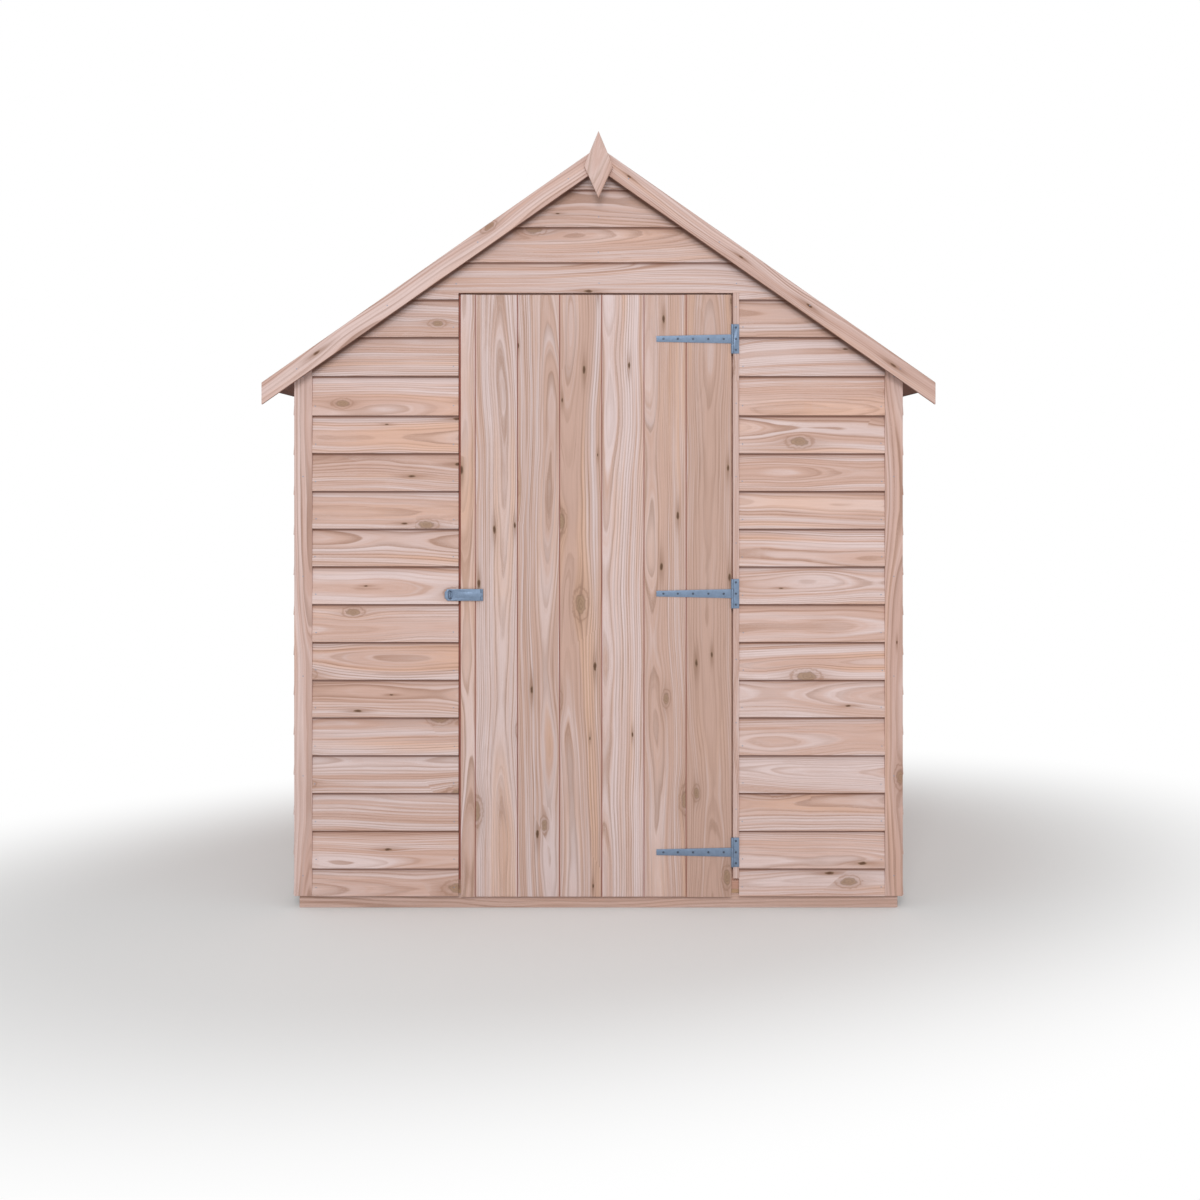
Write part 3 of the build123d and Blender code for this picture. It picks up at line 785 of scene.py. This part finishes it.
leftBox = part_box("front_boarding_left")
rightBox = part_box("front_boarding_right")
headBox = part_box("front_boarding_gable")
gableCourses = [boarding["firstGable"]] + [boarding["gablePitch"]] * boarding["regularGable"]
gableCourses += list(boarding["upperGable"])
wallLines = courseLines(boarding["bottom"], gableCourses, headBox[0][2], boarding["gablePitch"])
headLines = courseLines(headBox[0][2], boarding["head"], roofUnderside(0), boarding["gablePitch"])
backLines = courseLines(boarding["bottom"], gableCourses, roofUnderside(0), boarding["gablePitch"])
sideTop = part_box("left_boarding")[1][2]
sideLines = courseLines(boarding["bottom"], [boarding["firstSide"]], sideTop, boarding["sidePitch"])
front, back = -frameHalfDepth, frameHalfDepth
wallEnd = frameHalfWidth + trimReach - trimWidth
sideStuds = (-1.154, -0.577, 0.0, 0.577, 1.154)
walls = {
    # piece: (node, start, end, way out, lines of the boards, studs that take the nails)
    "front_boards_left": ("front_boarding_left", (leftBox[0][0], front, 0), (leftBox[1][0], front, 0),
                          (0, -1, 0), wallLines, (-0.851, -0.435)),
    "front_boards_right": ("front_boarding_right", (rightBox[0][0], front, 0), (rightBox[1][0], front, 0),
                           (0, -1, 0), wallLines, (0.4335, 0.851)),
    "front_boards_over_door": ("front_boarding_gable", (-wallEnd, front, 0), (wallEnd, front, 0),
                               (0, -1, 0), headLines, (-0.43, 0.0, 0.415)),
    "back_boards": ("back_boarding", (-wallEnd, back, 0), (wallEnd, back, 0),
                    (0, 1, 0), backLines, (-0.851, -0.3, 0.3, 0.851)),
    "left_boards": ("left_boarding", (-frameHalfWidth, front, 0), (-frameHalfWidth, back, 0),
                    (-1, 0, 0), sideLines, sideStuds),
    "right_boards": ("right_boarding", (frameHalfWidth, front, 0), (frameHalfWidth, back, 0),
                     (1, 0, 0), sideLines, sideStuds),
}
for name, wall in walls.items():
    lappedWall(name, *wall)
print("boarding laid")


# door: matched boards with a V joint between them
door = {
    "firstBoard": 0.0435,
    "cover": 0.1268,
    "veeWidth": 0.0025,       # each side of a joint
    "jointGap": 0.0002,
    "edge": 0.0008,
    "tones": (-0.5, -0.6, 0.0, 0.9, -0.5, 0.4, 0.8),    # how tan each board is, from the latch side
}


def selectEdges(piece, test):
    # picks edges by a test on their two ends
    mesh = piece.data
    for item in (*mesh.polygons, *mesh.vertices):
        item.select = False
    for item in mesh.edges:
        item.select = test(*(mesh.vertices[i].co for i in item.vertices))


def bevelChosen(piece, width, segments=1):
    pick(piece)
    bpy.ops.object.mode_set(mode="EDIT")
    bpy.ops.mesh.select_mode(type="EDGE")
    bpy.ops.mesh.bevel(offset=width, segments=segments, affect="EDGES")
    bpy.ops.mesh.select_mode(type="VERT")
    leaveEdit()


def doorBoards():
    low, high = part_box("door_boards")
    joints = [low[0]]
    joint = low[0] + door["firstBoard"]
    while joint < high[0] - 0.01:
        joints.append(joint)
        joint += door["cover"]
    joints.append(high[0])
    boards = []
    for left, right, tone in zip(joints, joints[1:], door["tones"]):
        inset = door["jointGap"] / 2
        left += inset if left > low[0] else 0
        right -= inset if right < high[0] else 0
        board = block("door_board", (left, low[1], low[2]), (right, high[1], high[2]))

        def onFace(a, b):
            upright = abs(a.x - b.x) < 1e-5 and abs(a.y - b.y) < 1e-5
            atJoint = low[0] + 0.001 < a.x < high[0] - 0.001
            return upright and atJoint and a.y < low[1] + 1e-4

        selectEdges(board, onFace)
        bevelChosen(board, door["veeWidth"])
        softenEdges(board, door["edge"])
        layGrain(board, (0, 0, 1), across=(1, 0, 0))
        middle = (left + right) / 2

        def inJoint(spot):
            side = left if spot.x < middle else right
            deepEnough = low[1] + door["veeWidth"] * 0.7 < spot.y < (low[1] + high[1]) / 2
            atJoint = low[0] + 0.002 < side < high[0] - 0.002 and abs(spot.x - side) < 0.001
            return float(deepEnough and atJoint)

        markPoints(board, "joint", inJoint)
        markPoints(board, "tone", lambda spot: tone)
        boards.append(board)
    piece = joinAll(boards, "door_matched_boards")
    finishPiece(piece, finish["doorBoards"], "door", ["door_boards"])
    return [(left + right) / 2 for left, right in zip(joints, joints[1:])]


doorBoardMiddles = doorBoards()
print("door boarded")


# floor and roof boards
sheets = {
    "floorBoard": 0.11275, "roofBoard": 0.12, "roofThickness": 0.012, "gap": 0.0006, "edge": 0.001,
    "spare": 0.02,            # past the ridge and the eaves, and cut off there
}


def floorBoards():
    low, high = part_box("floor_panel")
    count = round((high[0] - low[0]) / sheets["floorBoard"])
    width = (high[0] - low[0]) / count
    boards = []
    for number in range(count):
        left = low[0] + number * width
        board = block("floor_board", (left + sheets["gap"] / 2, low[1], low[2]),
                      (left + width - sheets["gap"] / 2, high[1], high[2]))
        softenEdges(board, sheets["edge"])
        layGrain(board, (0, 1, 0), across=(1, 0, 0))
        boards.append(board)
    piece = joinAll(boards, "floor_boards")
    finishPiece(piece, finish["floorBoards"], "shed", ["floor_panel"])


def roofBoards(side, name):
    low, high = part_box(f"roof_boarding_{name}")
    edgeX = max(abs(low[0]), abs(high[0]))
    slopeLength = edgeX / math.cos(pitch)
    count = round(slopeLength / sheets["roofBoard"])
    width = slopeLength / count
    ridge = Vector((0, 0, roofUnderside(0)))
    boards = []
    for number in range(count):
        near = number * width - (sheets["spare"] if number == 0 else -sheets["gap"] / 2)
        far = (number + 1) * width + (sheets["spare"] if number == count - 1 else -sheets["gap"] / 2)
        # laid flat from the ridge line, then turned down to the slope
        board = block("roof_board", (min(side * near, side * far), low[1], ridge.z),
                      (max(side * near, side * far), high[1], ridge.z + sheets["roofThickness"]))
        edit(board)
        bpy.ops.transform.rotate(value=-side * pitch, orient_axis="Y", center_override=ridge)
        leaveEdit()
        trimPast(board, (0, 0, 0), (-side, 0, 0))
        trimPast(board, (side * edgeX, 0, 0), (side, 0, 0))
        softenEdges(board, sheets["edge"])
        layGrain(board, (0, 1, 0), across=alongSlope(side))
        boards.append(board)
    piece = joinAll(boards, f"roof_boards_{name}")
    finishPiece(piece, finish["roofBoards"], "shed", [f"roof_boarding_{name}"])


floorBoards()
roofBoards(-1, "left")
roofBoards(1, "right")
print("floor and roof boarded")


# hinges, hasp and felt: copies of the CAD solids with their edges eased
sheetwork = {
    # node: (piece, material, slot, edge rounding)
    "hinge_plates": ("hinge_plate_steel", "zinc", "galvanised_steel", 0.0004),
    "hinge_straps": ("hinge_strap_steel", "zinc", "galvanised_steel", 0.0004),
    "hasp_leaf": ("hasp_leaf_steel", "zinc", "galvanised_steel", 0.0003),
    "hasp_strap": ("hasp_strap_steel", "zinc", "galvanised_steel", 0.0003),
    "hasp_staple": ("hasp_staple_steel", "zinc", "galvanised_steel", 0.0003),
    "roof_felt_left": ("felt_left", "felt", "roofing_felt", 0.0007),
    "roof_felt_right": ("felt_right", "felt", "roofing_felt", 0.0007),
    "ridge_felt": ("felt_ridge", "felt", "roofing_felt", 0.0007),
}
for node, (name, skin, slot, rounding) in sheetwork.items():
    piece = copySolid(node, name, rounding)
    pick(piece)
    bpy.ops.object.shade_smooth_by_angle(angle=math.radians(35))
    finishPiece(piece, finish[skin], bodyOf[node], [node])
print("metal and felt copied:", len(sheetwork))


# nails and screws
fixings = {
    "nailRadius": 0.0016, "nailRise": 0.0003,
    "screwRadius": 0.0034, "screwRise": 0.001,
    "cloutRadius": 0.0045, "cloutRise": 0.0007,
    "trimNails": (0.1, 1.6, 0.29),    # up a corner trim: first, last and step
    # heights on the strip beside the door
    "stripNails": (0.3, 0.56, 0.75, 1.1, 1.3, 1.52, 1.81),
    "bargeNails": (0.09, 0.36, 0.63, 0.9), "bargeDrop": 0.033,    # out from the ridge, below the upper edge
    "floorNails": (-0.792, -0.396, 0.0, 0.396, 0.792),
    "cloutStep": 0.1,
    "cloutInset": 0.015,      # from the ends of the felt
    "cloutRow": 1.225,        # half a row from front to back
    "feltFace": 0.014,        # roof boards and felt, square to the slope
    # rows out from the ridge, and places across the ends of the felt
    "capEdge": 0.186, "eavesEdge": 0.985, "capClouts": (0.05, 0.118), "slopeClouts": (0.235, 0.935),
}
ironmongery = {
    "hingeHeights": (0.171, 0.948, 1.7135),
    "pin": 0.402, "plate": 0.413, "thickness": 0.0025,    # middles of the hinge pins and plates
    "plateScrews": (-0.033, 0.0, 0.034),                  # up the plate from the middle
    "strapScrews": (0.026, 0.072, 0.118, 0.164, 0.207),   # along the strap from the pin
    "ledgeScrews": (-0.024, 0.024),                       # up a ledge from the middle
    "ledgeInset": 0.011,      # from the end of the ledge to the screws at the narrow board
    "haspHeight": 0.9445, "haspScrews": (-0.39, -0.367), "haspScrewRise": 0.0105,
    "staple": -0.4455, "stapleNailOut": 0.0075, "stapleNailRise": 0.013,
    "haspThinner": 0.0005, "stapleThinner": 0.0002,       # than the hinges
}
headLuck = random.Random(77)


def roundHead(name, radius, rise, sides=14, rim=0.9, segments=2):
    # half sunk, with its rim rounded by a share of its rise
    deselectAll()
    bpy.ops.mesh.primitive_cylinder_add(vertices=sides, radius=radius, depth=rise * 2)
    head = bpy.context.active_object
    head.name = name
    selectEdges(head, lambda a, b: a.z > 0 and b.z > 0)
    bevelChosen(head, rise * rim, segments)
    return head


def screwHead(name, radius, rise):
    # made a thousand times too large, so that its cross is cut cleanly
    radius, rise = radius * 1000, rise * 1000
    head = roundHead(name, radius, rise, 20, 0.7, 3)
    long, narrow = radius * 0.6, radius * 0.125
    for x, y in ((long, narrow), (narrow, long)):
        blade = block("blade", (-x, -y, rise * 0.25), (x, y, rise * 5))
        cut = head.modifiers.new("recess", "BOOLEAN")
        cut.operation = "DIFFERENCE"
        cut.object = blade
        pick(head)
        bpy.ops.object.modifier_apply(modifier="recess")
        bpy.data.objects.remove(blade)
    head.scale = (0.001, 0.001, 0.001)
    pick(head)
    settle()
    return head


def setHeads(pattern, name, places, body, skin="zinc"):
    copies = []
    for place, outward in places:
        copy = pattern.copy()
        copy.data = pattern.data.copy()
        bpy.context.scene.collection.objects.link(copy)
        copy.location = place
        spin = Quaternion((0, 0, 1), headLuck.uniform(0, math.pi))
        copy.rotation_euler = (Vector(outward).to_track_quat("Z", "Y") @ spin).to_euler()
        copies.append(copy)
    piece = joinAll(copies, name)
    pick(piece)
    settle()
    finishPiece(piece, finish[skin], body)


def steps(first, last, step):
    count = max(1, round((last - first) / step))
    return [first + (last - first) * number / count for number in range(count + 1)]


nail = roundHead("nail", fixings["nailRadius"], fixings["nailRise"])
clout = roundHead("clout", fixings["cloutRadius"], fixings["cloutRise"])
screw = screwHead("screw", fixings["screwRadius"], fixings["screwRise"])
ahead = Vector((0, -1, 0))
behind = Vector((0, 1, 0))

# boarding and trims
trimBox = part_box("front_corner_trims")
trimMiddle = trimBox[1][0] - trimWidth / 2
trimFace = trimBox[0][1]
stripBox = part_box("hinge_strip")
stripMiddle = (stripBox[0][0] + stripBox[1][0]) / 2
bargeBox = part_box("front_bargeboard_left")
trimNails = []
for x in (-trimMiddle, trimMiddle):
    for z in steps(*fixings["trimNails"]):
        trimNails += [((x, trimFace, z), ahead), ((x, -trimFace, z), behind)]
for z in fixings["stripNails"]:
    trimNails.append(((stripMiddle, trimFace, z), ahead))
for x in fixings["bargeNails"]:
    z = bargeBox[1][2] - x * math.tan(pitch) - fixings["bargeDrop"]
    for side in (-1, 1):
        trimNails += [((side * x, bargeBox[0][1], z), ahead), ((side * x, -bargeBox[0][1], z), behind)]
setHeads(nail, "wall_nails", wallNails, "shed")
setHeads(nail, "trim_nails", trimNails, "shed")

# hinges and hasp
metalFace = trimFace - ironmongery["thickness"]
plateScrews, strapScrews, haspScrews, stapleNails = [], [], [], []
for height in ironmongery["hingeHeights"]:
    for up in ironmongery["plateScrews"]:
        plateScrews.append(((ironmongery["plate"], metalFace, height + up), ahead))
    for out in ironmongery["strapScrews"]:
        strapScrews.append(((ironmongery["pin"] - out, metalFace, height), ahead))
for x in ironmongery["haspScrews"]:
    for side in (-1, 1):
        z = ironmongery["haspHeight"] + side * ironmongery["haspScrewRise"]
        haspScrews.append(((x, metalFace + ironmongery["haspThinner"], z), ahead))
for x in (-ironmongery["stapleNailOut"], ironmongery["stapleNailOut"]):
    for side in (-1, 1):
        z = ironmongery["haspHeight"] + side * ironmongery["stapleNailRise"]
        place = (ironmongery["staple"] + x, metalFace + ironmongery["stapleThinner"], z)
        stapleNails.append((place, ahead))
setHeads(screw, "plate_screws", plateScrews, "shed", "dullZinc")
setHeads(screw, "strap_screws", strapScrews + haspScrews, "door", "dullZinc")
setHeads(nail, "staple_nails", stapleNails, "shed", "dullZinc")

# back of the door: two screws through each ledge into each board
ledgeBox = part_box("door_ledges")
# the ledges cover only part of the narrow board
doorBoardMiddles[0] = ledgeBox[0][0] + ironmongery["ledgeInset"]
ledgeScrews = []
for x in doorBoardMiddles:
    for height in ironmongery["hingeHeights"]:
        for up in ironmongery["ledgeScrews"]:
            ledgeScrews.append(((x, ledgeBox[1][1], height + up), behind))
setHeads(screw, "ledge_screws", ledgeScrews, "door")

# floor: a nail through each board into each bearer between the sills
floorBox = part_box("floor_panel")
boardMiddle = floorBox[1][0] - sheets["floorBoard"] / 2
floorNails = []
for x in steps(-boardMiddle, boardMiddle, sheets["floorBoard"]):
    for y in fixings["floorNails"]:
        floorNails.append(((x, y, floorBox[1][2]), (0, 0, 1)))
setHeads(nail, "floor_nails", floorNails, "shed")

# felt
clouts = []
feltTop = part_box("ridge_felt")[1][2]
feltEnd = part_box("ridge_felt")[1][1] - fixings["cloutInset"]


def capFace(x):
    return feltTop - x * math.tan(pitch)


def slopeFace(x):
    return roofUnderside(x) + fixings["feltFace"] / math.cos(pitch)


def addClout(side, x, y, face):
    clouts.append((Vector((side * x, y, face(x))), outOfSlope(side)))


for side in (-1, 1):
    for y in steps(-fixings["cloutRow"], fixings["cloutRow"], fixings["cloutStep"]):
        addClout(side, fixings["capEdge"], y, capFace)
        addClout(side, fixings["eavesEdge"], y, slopeFace)
    for y in (-feltEnd, feltEnd):
        for x in steps(*fixings["slopeClouts"], fixings["cloutStep"]):
            addClout(side, x, y, slopeFace)
        for x in fixings["capClouts"]:
            addClout(side, x, y, capFace)
setHeads(clout, "felt_nails", clouts, "shed")
for pattern in (nail, clout, screw):
    bpy.data.objects.remove(pattern)
print("fixings set:", len(wallNails) + len(trimNails) + len(clouts) + len(floorNails))


# floor, light and camera
stage = {
    "floorNear": -9.0, "floorFar": 4.2, "floorSide": 9.0, "floorColour": (238, 239, 239),
    # where the floor turns to plain white
    "fadeCentre": (-0.12, -0.84, 0.0), "fadeTurn": 35, "fadeShape": (1.5, 1.0, 1.0),
    "fadeStart": 1.0, "fadeEnd": 2.2,
    "worldStrength": 0.62,
    "keyPower": 770.0, "keySize": 4.6, "keyPlace": (-0.5, -14.0, 6.8), "keyAim": (0, -1.0, 1.0),
}
photoView = {"place": (0, -6.229, 1.309), "lens": 50, "sensor": 36, "shift": (0.00125, -0.1054)}


def studioFloor():
    deselectAll()
    bpy.ops.mesh.primitive_plane_add(size=1, location=(0, (stage["floorNear"] + stage["floorFar"]) / 2, 0))
    floor = bpy.context.active_object
    floor.name = "studio_floor"
    floor.scale = (stage["floorSide"] * 2, stage["floorFar"] - stage["floorNear"], 1)
    settle()
    material = newMaterial("studioFloor")
    place = objectPlace()
    shaped = newNode("ShaderNodeMapping", vector_type="TEXTURE")
    plug(place, shaped.inputs["Vector"])
    shaped.inputs["Location"].default_value = stage["fadeCentre"]
    shaped.inputs["Rotation"].default_value = (0, 0, math.radians(stage["fadeTurn"]))
    shaped.inputs["Scale"].default_value = stage["fadeShape"]
    distance = newNode("ShaderNodeVectorMath", operation="LENGTH")
    plug(shaped.outputs[0], distance.inputs[0])
    share = ease(distance.outputs["Value"], stage["fadeStart"], stage["fadeEnd"])
    matt = newNode("ShaderNodeBsdfDiffuse")
    matt.inputs["Color"].default_value = rgb(*stage["floorColour"])
    white = newNode("ShaderNodeEmission")
    mixed = newNode("ShaderNodeMixShader")
    plug(share, mixed.inputs[0])
    plug(matt.outputs[0], mixed.inputs[1])
    plug(white.outputs[0], mixed.inputs[2])
    showSurface(mixed)
    floor.data.materials.append(material)


def studioLight():
    world = bpy.data.worlds.new("studio")
    bpy.context.scene.world = world
    startTree(world)
    path = newNode("ShaderNodeLightPath")
    seen = calc("MAXIMUM", path.outputs["Is Camera Ray"], path.outputs["Is Transmission Ray"])
    strength = timesPlus(seen, 1.0 - stage["worldStrength"], stage["worldStrength"])
    back = newNode("ShaderNodeBackground")
    back.inputs["Color"].default_value = (1, 1, 1, 1)
    plug(strength, back.inputs["Strength"])
    showSurface(back, "ShaderNodeOutputWorld")
    bpy.ops.object.light_add(type="AREA", location=stage["keyPlace"])
    key = bpy.context.active_object
    key.name = "key_light"
    key.data.shape = "SQUARE"
    key.data.size = stage["keySize"]
    key.data.energy = stage["keyPower"]
    aim = Vector(stage["keyAim"]) - key.location
    key.rotation_euler = aim.to_track_quat("-Z", "Y").to_euler()


def photoCamera():
    bpy.ops.object.camera_add(location=photoView["place"], rotation=(math.radians(90), 0, 0))
    camera = bpy.context.active_object
    camera.name = "photo_camera"
    camera.data.lens = photoView["lens"]
    camera.data.sensor_width = photoView["sensor"]
    camera.data.shift_x, camera.data.shift_y = photoView["shift"]
    bpy.context.scene.camera = camera


studioFloor()
studioLight()
photoCamera()
bpy.context.scene.view_settings.view_transform = "Standard"
print("stage set")
